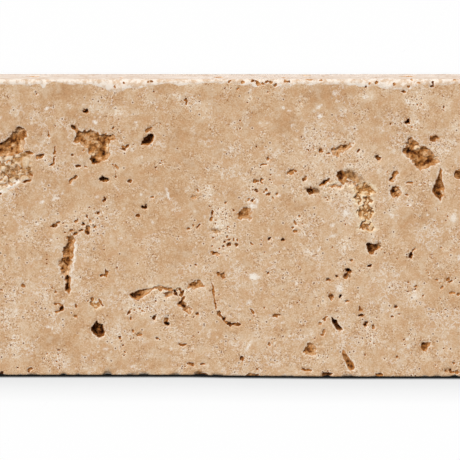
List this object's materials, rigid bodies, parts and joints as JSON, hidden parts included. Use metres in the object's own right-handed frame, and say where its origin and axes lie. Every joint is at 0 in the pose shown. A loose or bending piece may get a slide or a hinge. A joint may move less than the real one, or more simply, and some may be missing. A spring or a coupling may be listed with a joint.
{
  "type": "travertine wall tile",
  "caption": "Rectangular tumbled travertine wall tile with open pits in its face, worn front edges and a flat bed.",
  "frame": {"origin": "centre of the bed, the flat back of the tile, which lies on the floor", "axes": "+X along the tile's length, +Y across its width, +Z out of the pitted face"},
  "size_m": [0.15, 0.075, 0.01],
  "materials": {
    "travertine": "tumbled and unfilled, matt, warm beige with brown pits"
  },
  "bodies": {
    "root": {"tile": "travertine"}
  },
  "joints": []
}
